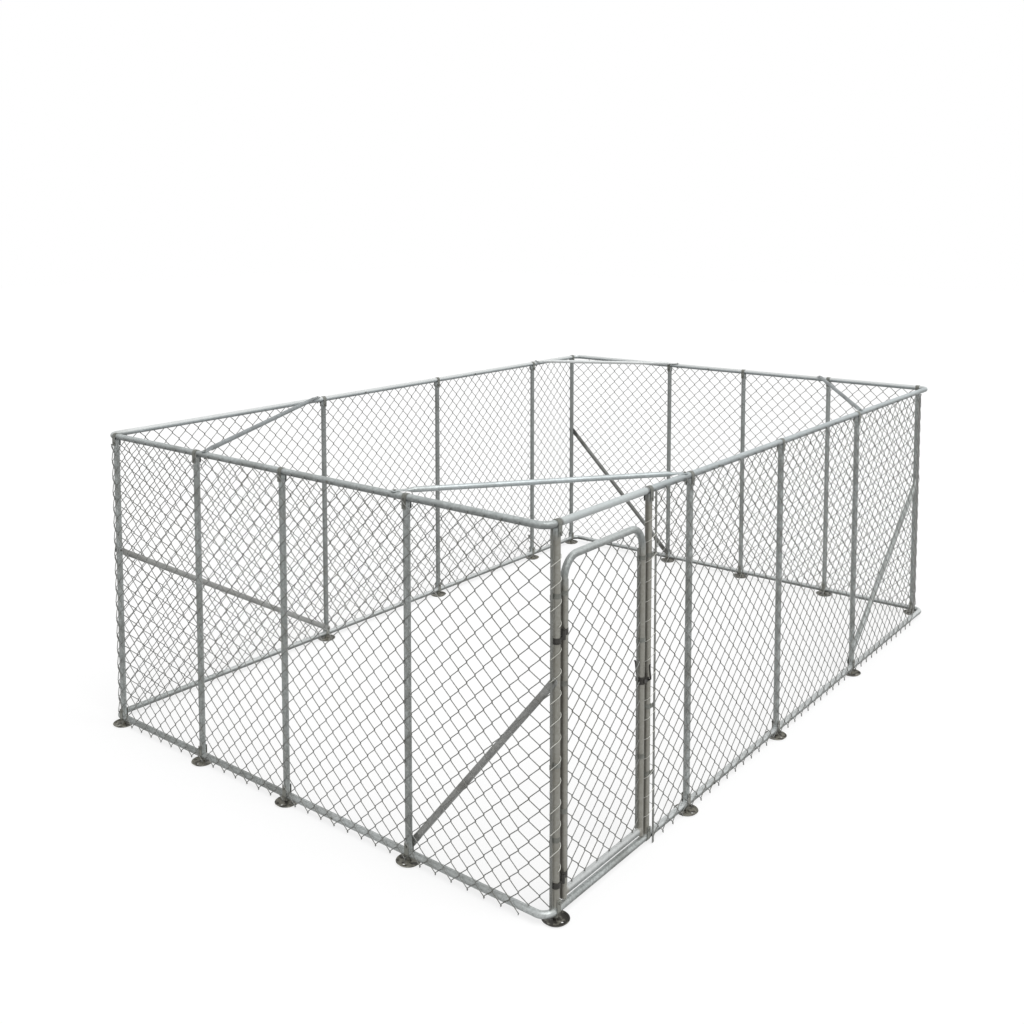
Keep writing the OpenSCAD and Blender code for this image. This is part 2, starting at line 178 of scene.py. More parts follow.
def weave(count, rows, mesh_wide, mesh_high, wire_r):
    """Across, up and depth of every wire's centre line, as three arrays (wires, points).

    With t in turns: across = A * asin(k sin(2 pi t)) / asin(k), a triangle wave with rounded tips, and
    depth = B * cos(2 pi t) / sqrt(cos(2 pi t)^2 + SPIRAL_ROUND). Odd wires run half a turn behind. The tail
    adds four points that run past the edge, wound half a turn round the neighbour's tail.
    """
    turns = (np.arange(rows)[:, None] + PHASES[None, :]).ravel()
    turns = np.append(turns, rows + TIP_TURN)
    odd = (np.arange(count) % 2)[:, None]
    t = turns[None, :] + 0.5 * odd
    reach = mesh_wide / 4 + TIP_PAST * wire_r
    across = reach * np.arcsin(TIP_SHARP * np.sin(2 * np.pi * t)) / np.arcsin(TIP_SHARP)
    swing = np.cos(2 * np.pi * t)
    depth = SPIRAL_DEPTH * wire_r * swing / np.sqrt(swing**2 + SPIRAL_ROUND)
    high = np.broadcast_to((turns - TIP_TURN) * mesh_high, across.shape)
    to = 1.0 - 2.0 * odd
    tail = TAIL[None, :, :]
    foot = [across[:, :1] + to * tail[:, ::-1, 0], -tail[:, ::-1, 1] + 0 * to, to * tail[:, ::-1, 2]]
    past = rows * mesh_high + tail[:, :, 1] + 0 * to
    head = [across[:, -1:] + to * tail[:, :, 0], past, to * tail[:, :, 2]]
    return [np.concatenate(p, axis=1) for p in zip(foot, [across, high, depth], head, strict=True)]


# %% [markdown]
# ## The wall netting's line in plan
# One roll of netting starts on a flat bar beside the hinge post, turns out to the left wall, runs round the
# back and the right wall and ends beside the latch post. Its line in plan is a chain of straights, two
# quarter circles and a tight bend round the right corner post. A distance along this one line gives a point
# and the direction that faces out of the run, so the meshes run on evenly from wall to wall.

# %% Plan of the roll
CORNER_C = 0.080
ARC_R = CORNER_C + NET_OFF
ARC_POINTS = 17
HUG_R = 0.0215
HUG_LEAN = 15.0
BAR_IN = 0.0325
BAR_BACK = 0.002
TURN_OUT = 0.115
LEAVE_WALL = 0.15
BAR_PAST_LATCH = 0.030
hinge_bar = np.array([-HALF_LENGTH + BAR_IN, -HALF_WIDTH + BAR_BACK])
turn_out = np.array([-HALF_LENGTH - NET_OFF, -HALF_WIDTH + TURN_OUT])
before_post = np.array([HALF_LENGTH + NET_OFF, -HALF_WIDTH + CORNER_IN + LEAVE_WALL])
roll_end = np.array([LATCH_X + BAR_PAST_LATCH, -HALF_WIDTH - NET_OFF])


def quarter(side_x, side_y, start):
    """Points of a corner: centre + ARC_R * (cos a, sin a), a falling a quarter turn from start."""
    a = np.radians(np.linspace(start, start - 90, ARC_POINTS))
    centre = np.array([side_x * (HALF_LENGTH - CORNER_C), side_y * (HALF_WIDTH - CORNER_C)])
    return centre + ARC_R * np.stack([np.cos(a), np.sin(a)], axis=1)


def round_post():
    """Points past the right corner post: an arc round its axis and the landing on the front wall.

    The arc is axis + HUG_R * (cos a, sin a), a falling from 0 to HUG_LEAN - 90 degrees. From there the roll
    runs straight on, along the arc's last tangent, until it meets the plane of the front net.
    """
    lean = np.radians(HUG_LEAN)
    a = np.linspace(0.0, lean - np.pi / 2, ARC_POINTS - 1)
    axis = np.array([HALF_LENGTH, -HALF_WIDTH + CORNER_IN])
    arc = axis + HUG_R * np.stack([np.cos(a), np.sin(a)], axis=1)
    reach = (arc[-1, 1] + HALF_WIDTH + NET_OFF) / np.sin(lean)
    return np.concatenate([arc, [arc[-1] - reach * np.array([np.cos(lean), np.sin(lean)])]])


stretches = [
    [hinge_bar, turn_out],
    quarter(-1, 1, 180),
    quarter(1, 1, 90),
    [before_post],
    round_post(),
    [roll_end],
]
CORNERS = (1, 2, 4)
first = np.cumsum([0] + [len(stretch) for stretch in stretches])
chain = np.concatenate(stretches)
run = np.concatenate([[0.0], np.cumsum(np.linalg.norm(np.diff(chain, axis=0), axis=1))])
heading = np.gradient(chain, run, axis=0)


def roll_plan(s):
    """Point in plan and outward direction at distances s along the roll.

    The point is interpolated along the chain; outward is the heading turned a quarter to the left.
    """
    x, y, hx, hy = (np.interp(s, run, v) for v in (*chain.T, *heading.T))
    size = np.hypot(hx, hy)
    return x, y, -hy / size, hx / size


wire_count = int(round(run[-1] / (MESH / 2)))
step = run[-1] / wire_count
rows = int(round((NET_HIGH - NET_LOW) / MESH))
print("roll m:", round(run[-1], 3), "wires:", wire_count, "rows:", rows)

# %% [markdown]
# ## Where the net is pushed out
# The net lies against the tubes, but at every saddle and joint a bolt head stands out of the wall by a few
# millimetres and lifts the wires over it. Each bolt gives the net a small round swelling, which is quicker
# than draping a cloth and keeps every mesh in its place.

# %% Bolt heads under the net
POSTS = {
    "front": (0.25, 0.47, 0.71),
    "right": (0.24, 0.47, 0.69),
    "back": (0.14, 0.40, 0.65),
    "left": (0.26, 0.48, 0.75),
}
JOINTS = {"front": (0.30, 0.62), "right": (0.56,), "back": (0.30, 0.56), "left": (0.58,)}
BOLT_UP = 0.036
POST_LIFT = 0.0062
JOINT_BOLT = 0.030
JOINT_LIFT = 0.0038
BRACE_SHARE = 0.6
BRACE_LIFT = 0.006
SWELL_R = 0.022
starts = {"front": (-1, -1), "right": (1, -1), "back": (1, 1), "left": (-1, 1)}
runs = {"front": (1, 0), "right": (0, 1), "back": (-1, 0), "left": (0, -1)}
swellings = []
for wall, (sx, sy) in starts.items():
    length = 2 * HALF_LENGTH if runs[wall][0] else 2 * HALF_WIDTH
    along = [CORNER_IN] + [share * length for share in POSTS[wall]]
    along += [GATE_BAY] if wall == "front" else []
    joints = [share * length + JOINT_BOLT for share in JOINTS[wall]]
    spots = [(d, z, POST_LIFT) for d in along for z in (RAIL_LOW + BOLT_UP, RAIL_HIGH - BOLT_UP)]
    spots += [(d, z, JOINT_LIFT) for d in joints for z in (RAIL_LOW, RAIL_HIGH)]
    for d, z, lift in spots:
        swellings.append((sx * HALF_LENGTH + d * runs[wall][0], sy * HALF_WIDTH + d * runs[wall][1], z, lift))
BRACE_Z = RAIL_LOW + BRACE_SHARE * (RAIL_HIGH - RAIL_LOW)
swellings.append((HALF_LENGTH, -HALF_WIDTH + CORNER_IN - TUBE_R, BRACE_Z, BRACE_LIFT))
print("bolt heads under the net:", len(swellings))


def swelling(x, y, z):
    """Outward push at points: the largest lift * exp(-d^2 / (2 * SWELL_R^2)) over the bolts, d = distance."""
    push = np.zeros_like(x)
    for bx, by, bz, lift in swellings:
        d2 = (x - bx) ** 2 + (y - by) ** 2 + (z - bz) ** 2
        push = np.maximum(push, lift * np.exp(-d2 / (2 * SWELL_R**2)))
    return push


# %% [markdown]
# ## The wall nets
# The roll hangs on the outside of the frame, from just under the bottom rail to the middle of the top rail.
# All its wires are wound as one array and then cut in the middle of each corner, which gives one net for
# each wall of the construction model. Where the roll bends, whole wires would run into the elbows, so there
# they only reach from above the bottom rail to below the top rail.

# %% Wall nets
ELBOW_CLEAR = 0.001
across, high, depth = weave(wire_count, rows, 2 * step, (NET_HIGH - NET_LOW) / rows, WIRE_R)
middle = (np.arange(wire_count) + 0.5) * step
px, py, nx, ny = roll_plan(middle[:, None] + across)
pz = NET_LOW + high
depth = depth + swelling(px, py, pz)
wires = np.stack([px + depth * nx, py + depth * ny, pz], axis=2)
facing = np.stack([nx, ny, 0 * nx], axis=2)
tucked = np.zeros(wire_count, dtype=bool)
for k in (0, *CORNERS):
    tucked |= (middle > run[first[k]] - step / 2) & (middle < run[first[k + 1] - 1] + step / 2)
over_low = pz[0] > RAIL_LOW + TUBE_R + ELBOW_CLEAR
under_high = pz[0] < RAIL_HIGH - TUBE_R - ELBOW_CLEAR
between = np.flatnonzero(over_low & under_high)
cuts = [0.0, *(run[first[k] + ARC_POINTS // 2] for k in CORNERS), run[-1]]
nets = {}
for wall, low, top in zip(("left", "back", "right", "front"), cuts[:-1], cuts[1:], strict=True):
    mine = (middle >= low) & (middle < top)
    full = mine & ~tucked
    short = mine & tucked
    c1, f1 = wire_mesh(wires[full], facing[full], WIRE_R)
    c2, f2 = wire_mesh(wires[short][:, between], facing[short][:, between], WIRE_R)
    f2 = [[k + len(c1) for k in face] for face in f2]
    net = put_mesh(f"woven_net_{wall}", np.concatenate([c1, c2]), f1 + f2)
    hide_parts(f"net_{wall}", *(["net_ties"] if wall == "left" else []))
    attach(net, "frame")
    nets[wall] = net
    print(net.name, "wires:", int(mine.sum()), "between the elbows:", int(short.sum()))

# %% [markdown]
# ## The gate's net
# The gate has a net of its own in the middle of its frame. It is woven in the same way and swings with the
# gate. Its sides end in the stiles, and the wires near the rounded top corners stop where they meet the
# bend: they are cut to length before they become meshes, so nothing has to be trimmed afterwards.

# %% Gate net
GATE_SIDE = -0.003
EDGE_ROOM = 0.006
gate_wide = GATE_X1 - GATE_X0 - 2 * TUBE_R - 2 * GATE_SIDE
gate_low = GATE_Z0 + TUBE_R + EDGE_ROOM
gate_top = GATE_Z1 - TUBE_R - EDGE_ROOM
gate_wires = 2 * int(round(gate_wide / MESH))
gate_step = (gate_wide - 2 * WIRE_R) / gate_wires
gate_rows = int(round((gate_top - gate_low) / MESH))
across, high, depth = weave(gate_wires, gate_rows, 2 * gate_step, (gate_top - gate_low) / gate_rows, WIRE_R)
gate_x = GATE_X0 + TUBE_R + GATE_SIDE + WIRE_R + (np.arange(gate_wires)[:, None] + 0.5) * gate_step + across
gate_paths = np.stack([gate_x, -HALF_WIDTH - depth, gate_low + high], axis=2)
bend_x = np.clip(gate_x, GATE_X0 + GATE_R, GATE_X1 - GATE_R)
bend_z = np.maximum(gate_paths[:, :, 2], GATE_Z1 - GATE_R)
from_bend = np.hypot(gate_x - bend_x, bend_z - (GATE_Z1 - GATE_R))
inside = (gate_paths[:, :, 2] < GATE_Z1 - GATE_R) | (from_bend < GATE_R - TUBE_R - WIRE_R)
lengths = np.where(inside.all(axis=1), inside.shape[1], np.argmin(inside, axis=1))
outward = np.array([0.0, -1.0, 0.0])
corners, faces, count = [], [], 0
for path, n in zip(gate_paths, lengths, strict=True):
    c, f = wire_mesh(path[None, :n], outward, WIRE_R)
    corners.append(c)
    faces += [[i + count for i in face] for face in f]
    count += len(c)
gate_net = put_mesh("woven_gate_net", np.concatenate(corners), faces)
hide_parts("gate_net")
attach(gate_net, "gate")
print(gate_net.name, "wires:", gate_wires, "rows:", gate_rows)

# %% [markdown]
# ## Lacing
# At the two ends of the roll a thin wire is wound round the post and the flat bar in the last meshes. A
# screw turns only round a circle, so one turn is drawn in plan as the line of a belt round two circles, a
# large one for the post and a small one for the edge of the bar; a steady rise of one mesh per turn makes
# it a lacing.

# %% Lacing helper
LACE_R = 0.0014
LACE_POINTS = 28
POST_ARC_POINTS = 24
EDGE_ARC_POINTS = 10


def belt(a, ra, b, rb, points):
    """Closed plan line round circles (a, ra) and (b, rb), evenly spaced by length.

    The belt leaves each circle at the angle where both share a tangent, acos((ra - rb) / distance) from the
    line of centres; between these the line is straight, and on a circle it is centre + r * (cos, sin).
    """
    a, b = np.asarray(a), np.asarray(b)
    line = b - a
    toward = np.arctan2(line[1], line[0])
    lean = np.arccos((ra - rb) / np.hypot(*line))
    on_a = toward + np.linspace(lean, 2 * np.pi - lean, POST_ARC_POINTS)
    on_b = toward + np.linspace(-lean, lean, EDGE_ARC_POINTS)
    arc_a = a + ra * np.stack([np.cos(on_a), np.sin(on_a)], axis=1)
    arc_b = b + rb * np.stack([np.cos(on_b), np.sin(on_b)], axis=1)
    loop = np.concatenate([arc_a, arc_b, arc_a[:1]])
    length = np.concatenate([[0.0], np.cumsum(np.linalg.norm(np.diff(loop, axis=0), axis=1))])
    at = np.linspace(0.0, length[-1], points, endpoint=False)
    return np.stack([np.interp(at, length, loop[:, 0]), np.interp(at, length, loop[:, 1])], axis=1)


def lacing(name, a, b, ra, rb, z0, z1, body):
    """A wire that climbs one mesh per turn round the belt of tube a and bar b, from z0 to z1."""
    plan = belt(a, ra, b, rb, LACE_POINTS)
    n = int((z1 - z0) / MESH * LACE_POINTS)
    z = z0 + MESH * np.arange(n) / LACE_POINTS
    path = np.column_stack([plan[np.arange(n) % LACE_POINTS], z])
    obj = put_mesh(name, *wire_mesh(path[None], np.array([0.0, 0.0, 1.0]), LACE_R))
    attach(obj, body)
    return obj


# %% Lacings
WRAP_CLEAR = 0.0031
WRAP_R = TUBE_R + WRAP_CLEAR
EDGE_R = 0.0036
HINGE_EDGE_OUT = 0.0045
LATCH_EDGE_PAST = 0.0335
LATCH_EDGE_OUT = 0.0209
OVER_LOW_HINGE = 0.21
UNDER_HIGH_HINGE = 1.13
OVER_HIGH_HINGE = 1.215
LACE_FOOT = 0.11
LACE_HEAD = 1.56
hinge_post = (HINGE_X, -HALF_WIDTH)
hinge_edge = (hinge_bar[0] - HINGE_EDGE_OUT, hinge_bar[1])
latch_post = (LATCH_X, -HALF_WIDTH)
latch_edge = (LATCH_X + LATCH_EDGE_PAST, -HALF_WIDTH - LATCH_EDGE_OUT)
hinge_belt = (hinge_post, hinge_edge, WRAP_R, EDGE_R)
latch_belt = (latch_post, latch_edge, WRAP_R, EDGE_R)
laces = [
    lacing("hinge_post_lacing_low", *hinge_belt, OVER_LOW_HINGE, UNDER_HIGH_HINGE, "frame"),
    lacing("hinge_post_lacing_high", *hinge_belt, OVER_HIGH_HINGE, LACE_HEAD, "frame"),
    lacing("latch_post_lacing", *latch_belt, LACE_FOOT, LACE_HEAD, "frame"),
]
print("lacings:", [o.name for o in laces])

# %% [markdown]
# ## Finishes
# Nearly every part is zinc on steel, but no two kinds look alike: drawn tube is smooth with a faint pattern
# of zinc crystals, wire is duller, pressed straps are grey and uneven, the feet are stained in dark
# blotches, and hinges and latch are nearly black. Old zinc is covered by its own oxide, so it is only
# partly metallic. One helper turns sRGB hex into the linear colour that a shader expects, and one adds a
# node. Colours are then laid over each other like coats of paint, each by an amount that is a product of
# ramps.


# %% Shader helpers
def hex_linear(code):
    """Linear RGBA of an sRGB hex colour: c / 12.92 below 0.04045, else ((c + 0.055) / 1.055) ^ 2.4."""
    c = np.array([int(code[i : i + 2], 16) for i in (1, 3, 5)]) / 255.0
    lin = np.where(c <= 0.04045, c / 12.92, ((c + 0.055) / 1.055) ** 2.4)
    return (*lin.tolist(), 1.0)


def add_node(tree, kind, inputs, **settings):
    """Adds one node; settings are its own properties, inputs maps a socket to a value or to an output."""
    node = tree.nodes.new(kind)
    for key, value in settings.items():
        setattr(node, key, value)
    for key, value in inputs.items():
        if isinstance(value, bpy.types.NodeSocket):
            tree.links.new(value, node.inputs[key])
        else:
            node.inputs[key].default_value = value
    return node


def new_material(name):
    """A node material with its tree, its principled shader and its object coordinates."""
    material = bpy.data.materials.new(name)
    material.use_nodes = True
    tree = material.node_tree
    shader = tree.nodes["Principled BSDF"]
    place = add_node(tree, "ShaderNodeTexCoord", {}).outputs["Object"]
    return material, tree, shader, place


# %% Coats
FADE_SOCKETS = ("Value", "From Min", "From Max", "To Min", "To Max")
COAT_AMOUNT = 0
COAT_BASE = 6
COAT_COLOUR = 7
COAT_RESULT = 2


def amount(tree, *fades):
    """Product of fades, as one output.

    A fade is an output, or a row of five: a value, where it starts and ends, and the amounts at its start
    and its end. In between the amount runs straight from one to the other, and outside it stays level.
    """
    outputs = []
    for fade in fades:
        if isinstance(fade, tuple):
            ramp = add_node(tree, "ShaderNodeMapRange", dict(zip(FADE_SOCKETS, fade, strict=True)))
            outputs.append(ramp.outputs["Result"])
        else:
            outputs.append(fade)
    product = outputs[0]
    for factor in outputs[1:]:
        product = add_node(tree, "ShaderNodeMath", {0: product, 1: factor}, operation="MULTIPLY").outputs[0]
    return product


def coat(tree, base, colour, *fades):
    """Colour laid over base: base * (1 - a) + colour * a, with a the product of the fades."""
    layers = {COAT_AMOUNT: amount(tree, *fades), COAT_BASE: base, COAT_COLOUR: hex_linear(colour)}
    return add_node(tree, "ShaderNodeMix", layers, data_type="RGBA").outputs[COAT_RESULT]


# %% Zinc-like metal
MM = 0.001
STAIN_CLOUDS = (0.46, 0.74, 0.0, 0.8)
GLOSS_CLOUDS = (0.3, 0.7)
GLOSS_LESS = 0.07
GLOSS_MORE = 0.09
GRAIN_MM = 3.0
GRAIN_STRENGTH = 0.25


def metal(name, dark, light, stain, metallic, rough, crystal_mm, cloud_mm, dent_mm, recolour=None):
    """Crystals of one size between two greys, slow clouds of a stain, uneven gloss and a fine grain.

    Where a recolouring function is given, it takes the tree, the place and the colour so far and returns the
    final colour; the one for the tubes adds painted highlights and painted shade.
    """
    material, tree, shader, place = new_material(name)
    cell = add_node(tree, "ShaderNodeTexVoronoi", {"Vector": place, "Scale": 1 / (crystal_mm * MM)})
    shade = add_node(tree, "ShaderNodeSeparateColor", {"Color": cell.outputs["Color"]})
    zinc = coat(tree, hex_linear(dark), light, shade.outputs["Red"])
    slow = {"Vector": place, "Scale": 1 / (cloud_mm * MM), "Detail": 5.0}
    cloud = add_node(tree, "ShaderNodeTexNoise", slow).outputs["Fac"]
    base = coat(tree, zinc, stain, (cloud, *STAIN_CLOUDS))
    if recolour:
        base = recolour(tree, place, base)
    tree.links.new(base, shader.inputs["Base Color"])
    gloss = amount(tree, (cloud, *GLOSS_CLOUDS, rough - GLOSS_LESS, rough + GLOSS_MORE))
    tree.links.new(gloss, shader.inputs["Roughness"])
    shader.inputs["Metallic"].default_value = metallic
    fine = {"Vector": place, "Scale": 1 / (GRAIN_MM * MM), "Detail": 3.0}
    grain = add_node(tree, "ShaderNodeTexNoise", fine)
    dents = {"Height": grain.outputs["Fac"], "Strength": GRAIN_STRENGTH, "Distance": dent_mm * MM}
    relief = add_node(tree, "ShaderNodeBump", dents)
    tree.links.new(relief.outputs["Normal"], shader.inputs["Normal"])
    return material


# %% [markdown]
# ### Weathering and painted light on the tubes
# All the tubes left the zinc bath alike. Part of what tells them apart is weathering and part is painted
# light: a painted highlight keeps the tops of the rails pale and painted shade darkens them beneath, the
# posts are a little darker and take painted shade toward the back, hands have left an olive film round the
# gate, and painted shade lies in the narrow gap beside each stile. Painting every tube by hand would be slow
# and would not follow a change of size, so each coat is picked out by its place: heights, walls and the
# distance from the gate.

# %% Places on the tubes
GATE_MID = ((GATE_X0 + GATE_X1) / 2, -HALF_WIDTH, 0.0)
HALF_GATE = (GATE_X1 - GATE_X0) / 2
WALL_SIDES = (1 / HALF_LENGTH, 1 / HALF_WIDTH, 0.0)
FAR_SIDES = (-0.05, 0.05)
LEFT_WALL = (-HALF_LENGTH + 0.05, -HALF_LENGTH + 0.20)
LEFT_JOINT = (-0.05, 0.05)
PAST_LATCH = (LATCH_X - 0.04, LATCH_X)
TO_BACK = (-0.8, 0.6)
TOP_RAILS = (RAIL_HIGH - TUBE_R - 0.006, RAIL_HIGH - TUBE_R + 0.002)
LOW_RAILS = (RAIL_LOW + TUBE_R, RAIL_LOW + TUBE_R + 0.004)
POST_FOOT = (RAIL_LOW + 0.035, RAIL_LOW + 0.050)
POST_HEAD = (RAIL_HIGH - 0.045, RAIL_HIGH - 0.030)
FAR_RAISE = 0.55 * TUBE_R

STILE_IN = (HALF_GATE - 0.027, HALF_GATE - 0.017)
GATE_RAIL_END = (HALF_GATE - 0.010, HALF_GATE + 0.005)
STILE_OUT = (HALF_GATE + 0.019, HALF_GATE + 0.033)
STILE_GAP = HALF_GATE + 0.025
POST_OUT = (HALF_GATE + 0.073, HALF_GATE + 0.083)
FILM_END = (HALF_GATE + 0.125, HALF_GATE + 0.305)
FILM_HEAD = (RAIL_HIGH - 0.070, RAIL_HIGH - 0.025)
BOW_FOOT = (GATE_Z1 - 0.130, GATE_Z1 - 0.060)
OVER_FOOT = (RAIL_LOW + 0.010, RAIL_LOW + 0.025)
OVER_SILL = (RAIL_LOW + 0.020, RAIL_LOW + 0.030)
GATE_RAIL_TOP = (GATE_Z0 + TUBE_R, GATE_Z0 + TUBE_R + 0.004)
OVER_GATE_RAIL = (GATE_Z0 + 0.018, GATE_Z0 + 0.068)
GAP_SHADE_WIDE = (0.009, 0.017)
print("stile axis from the gate's middle, m:", round(HALF_GATE, 3))


# %% Weathering and painted light on rails and posts
def over_axis(axis, low, high):
    """Two heights, low and high tube radii above the axis of a level tube."""
    return axis + low * TUBE_R, axis + high * TUBE_R


def rail_coats_and_painted_light(tree, place, base):
    """Coats on rails and posts, picked out by height and by wall.

    A place's side is x / HALF_LENGTH + y / HALF_WIDTH: below zero on the left and front walls, above zero on
    the right and back walls. There the painted shade reaches less high on the top rails, so their height is
    raised before it is read.
    """
    axes = add_node(tree, "ShaderNodeSeparateXYZ", {"Vector": place}).outputs
    x = axes["X"]
    y = axes["Y"]
    z = axes["Z"]
    side = add_node(tree, "ShaderNodeVectorMath", {0: place, 1: WALL_SIDES}, operation="DOT_PRODUCT")
    far_walls = amount(tree, (side.outputs["Value"], *FAR_SIDES, 0.0, 1.0))
    raised = add_node(tree, "ShaderNodeMath", {0: far_walls, 1: FAR_RAISE, 2: z}, operation="MULTIPLY_ADD")
    off_left = (x, *LEFT_WALL, 0.0, 1.0)
    on_left = (x, *LEFT_WALL, 1.0, 0.0)
    top_rails = (z, *TOP_RAILS, 0.0, 1.0)
    low_rails = (z, *LOW_RAILS, 1.0, 0.0)
    under_head = (z, *POST_HEAD, 1.0, 0.0)
    coats = [
        # painted highlight: the top rails are made paler and cooler, as if mirroring the sky, the left one
        # less
        ("#c8d2d6", (x, *LEFT_WALL, 0.1, 0.45), top_rails),
        # painted highlight: the far top rails are nearly white along their tops
        ("#f0f0ee", (z, *over_axis(RAIL_HIGH, 0.0, 0.4), 0.0, 0.5), far_walls),
        # painted shade beneath all top rails
        ("#3f403e", (raised.outputs[0], *over_axis(RAIL_HIGH, 0.05, 0.65), 0.46, 0.0), top_rails),
        # the left bottom rail has a newer length toward the gate and an older one beyond
        ("#d8dbdb", (y, *LEFT_JOINT, 0.22, 0.0), low_rails, on_left),
        ("#4c4842", (y, *LEFT_JOINT, 0.0, 0.24), low_rails, on_left),
        # the other bottom rails get painted shade beneath, and past the latch post a painted highlight on top
        ("#e8ebeb", (z, *over_axis(RAIL_LOW, 0.25, 0.6), 0.0, 0.5), low_rails, (x, *PAST_LATCH, 0.0, 1.0)),
        ("#3f403e", (z, *over_axis(RAIL_LOW, 0.0, 0.45), 0.58, 0.0), low_rails, off_left),
        # posts are a little darker all round, and painted shade darkens them more toward the back
        ("#4a4a44", (z, *POST_FOOT, 0.0, 0.165), under_head),
        ("#4a4a47", (z, *POST_FOOT, 0.0, 1.0), under_head, off_left, (y, *TO_BACK, 0.0, 0.288)),
    ]
    for colour, *fades in coats:
        base = coat(tree, base, colour, *fades)
    return base


# %% Olive film and painted light round the gate
def gate_film_and_painted_light(tree, place, base):
    """Coats on the tubes round the gate, by height and by distance in plan from the gate's middle."""
    z = add_node(tree, "ShaderNodeSeparateXYZ", {"Vector": place}).outputs["Z"]
    flat = add_node(tree, "ShaderNodeVectorMath", {0: place, 1: (1.0, 1.0, 0.0)}, operation="MULTIPLY")
    away = add_node(tree, "ShaderNodeVectorMath", {0: flat.outputs[0], 1: GATE_MID}, operation="DISTANCE")
    far = away.outputs["Value"]
    bow = amount(tree, (far, *STILE_OUT, 1.0, 0.0), (z, *BOW_FOOT, 0.0, 1.0))
    off_bow = add_node(tree, "ShaderNodeMath", {0: 1.0, 1: bow}, operation="SUBTRACT").outputs[0]
    low_ends = amount(tree, (far, *STILE_IN, 0.0, 1.0), (far, *POST_OUT, 1.0, 0.0), (z, *OVER_FOOT, 0.0, 1.0))
    over_rails = amount(tree, (z, *OVER_GATE_RAIL, 0.0, 1.0))
    upright = add_node(tree, "ShaderNodeMath", {0: over_rails, 1: low_ends}, operation="MAXIMUM").outputs[0]
    from_gap = add_node(tree, "ShaderNodeMath", {0: far, 1: STILE_GAP}, operation="SUBTRACT").outputs[0]
    off_gap = add_node(tree, "ShaderNodeMath", {0: from_gap}, operation="ABSOLUTE").outputs[0]
    in_gate = (far, *GATE_RAIL_END, 1.0, 0.0)
    bow_heights = over_axis(GATE_Z1, 0.0, 0.6)
    rail_heights = over_axis(GATE_Z0, 0.1, 0.6)
    coats = [
        # painted highlight along the top of the bow and painted shade beneath it
        ("#d8dedd", (z, *bow_heights, 0.0, 0.45), bow),
        ("#3f4342", (z, *bow_heights, 0.25, 0.0), bow),
        # the same painted shade beneath and painted highlight on top for the gate's bottom rail
        ("#3f403e", (z, *rail_heights, 0.30, 0.0), (z, *OVER_SILL, 0.0, 1.0), in_gate),
        ("#e0e2e2", (z, *rail_heights, 0.0, 0.5), in_gate, (z, *GATE_RAIL_TOP, 1.0, 0.0)),
        # an olive film from handling on stiles and posts
        ("#8b8577", (far, *FILM_END, 0.6, 0.0), (z, *FILM_HEAD, 1.0, 0.0), off_bow, upright),
        # painted shade in the narrow gap between stile and post
        ("#4a463f", (off_gap, *GAP_SHADE_WIDE, 0.70, 0.0), upright, off_bow),
    ]
    for colour, *fades in coats:
        base = coat(tree, base, colour, *fades)
    return base


def tube_weather_and_painted_light(tree, place, base):
    """The coats of rails and posts, and over them those round the gate."""
    return gate_film_and_painted_light(tree, place, rail_coats_and_painted_light(tree, place, base))


# %% [markdown]
# ### The metals
# The tubes are hot-dip galvanised, and so is the wire, which was drawn first. Three braces and two ties
# are other lengths of tube that have kept greys of their own. The flat bars are plain zinc strip, the
# pressed saddles and bands are rougher zinc, the bolts are zinc-plated, and hinges and latch are dark
# steel. Each could be a tree of its own, but one function makes them all from three greys and the sizes
# of crystals and clouds, so they stay one family.

# %% Materials
finishes = {
    # hot-dip galvanised steel tube, weathered and with painted highlights and painted shade, with fine zinc
    # crystals
    "galvanised_tube": metal(
        "hot_dip_galvanised_tube", "#9ca19f", "#c0c5c4", "#8e918d", 0.35, 0.40, 9, 160, 0.05, tube_weather_and_painted_light
    ),
    # galvanised drawn wire, dull grey
    "galvanised_wire": metal("galvanised_wire", "#7b7c7a", "#949592", "#717067", 0.35, 0.48, 6, 90, 0.02),
    # soft tie wire, newer and brighter than the net
    "bright_tie_wire": metal("bright_tie_wire", "#d2d2cb", "#e4e4de", "#c4c3b8", 0.2, 0.45, 6, 90, 0.02),
    # galvanised tube of the back and left braces, an even light grey
    "brace_tube": metal("galvanised_brace_tube", "#989997", "#adaeab", "#868581", 0.35, 0.45, 9, 160, 0.05),
    # galvanised tube of the ties across the left and right corners, a cool middle grey
    "tie_tube": metal("galvanised_tie_tube", "#818788", "#9aa0a1", "#747777", 0.35, 0.45, 9, 160, 0.05),
    # an older length of tube for the right brace, dulled and darker
    "dull_tube": metal("dulled_galvanised_tube", "#686967", "#7f807c", "#585751", 0.35, 0.55, 9, 160, 0.05),
    # cold-rolled zinc-plated flat bar, smooth and grey
    "flat_bar": metal("zinc_plated_flat_bar", "#7b7c79", "#8c8e8a", "#6b6b64", 0.35, 0.45, 5, 80, 0.03),
    # pressed zinc-plated strap, rougher from the press
    "pressed_zinc": metal("pressed_zinc_strap", "#777974", "#8c8e88", "#63625a", 0.35, 0.5, 5, 60, 0.06),
    # zinc-plated bolts and nuts, a little darker than the straps
    "zinc_bolt": metal("zinc_plated_bolt", "#6d6e69", "#85867f", "#535149", 0.35, 0.45, 5, 50, 0.04),
    # dark oxide steel of hinges and latch, nearly black
    "dark_steel": metal("dark_oxide_steel", "#31302d", "#43413d", "#22211e", 0.3, 0.5, 4, 30, 0.05),
}
print("metals:", list(finishes))

# %% [markdown]
# ### The feet
# A foot is a pressed steel pan that lies in the wet, with a cradle that takes rail and post. The cradle is
# grey like the posts, the pan is stained in dark blotches, and most at the gate corner. Noise makes the
# blotches, and a push added to it near that corner makes more of it dark, so one finish does for all feet.

